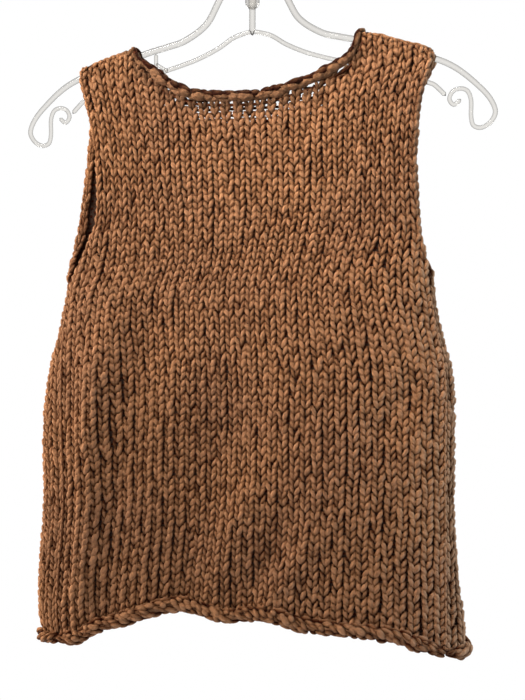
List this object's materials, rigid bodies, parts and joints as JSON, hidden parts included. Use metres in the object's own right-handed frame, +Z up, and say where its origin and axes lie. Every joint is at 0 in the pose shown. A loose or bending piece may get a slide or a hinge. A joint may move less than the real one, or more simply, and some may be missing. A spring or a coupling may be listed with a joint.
{
  "type": "knitted sweater vest on a clear hanger",
  "caption": "Chunky hand-knit sleeveless pullover vest with a round neck and rolled hem, hanging on a clear plastic hanger.",
  "frame": {"origin": "top of the opening inside the hanger's hook, where a rail carries it", "axes": "+Z up, +X to the right of someone facing the front of the vest, the front faces -Y"},
  "size_m": [0.4334, 0.0885, 0.6988],
  "materials": {
    "panel_yarn": "thick plied wool, stockinette",
    "edging_yarn": "thick plied wool, cast-off edge",
    "clear_plastic": "clear, polished"
  },
  "bodies": {
    "root": {"front_panel": "panel_yarn", "back_panel": "panel_yarn", "neck_edging": "edging_yarn", "hanger_hook": "clear_plastic", "hanger_stem": "clear_plastic", "hanger_arm_left": "clear_plastic", "hanger_end_left": "clear_plastic", "hanger_bow_left": "clear_plastic", "hanger_link_left": "clear_plastic", "hanger_arm_right": "clear_plastic", "hanger_end_right": "clear_plastic", "hanger_bow_right": "clear_plastic", "hanger_link_right": "clear_plastic"}
  },
  "joints": []
}
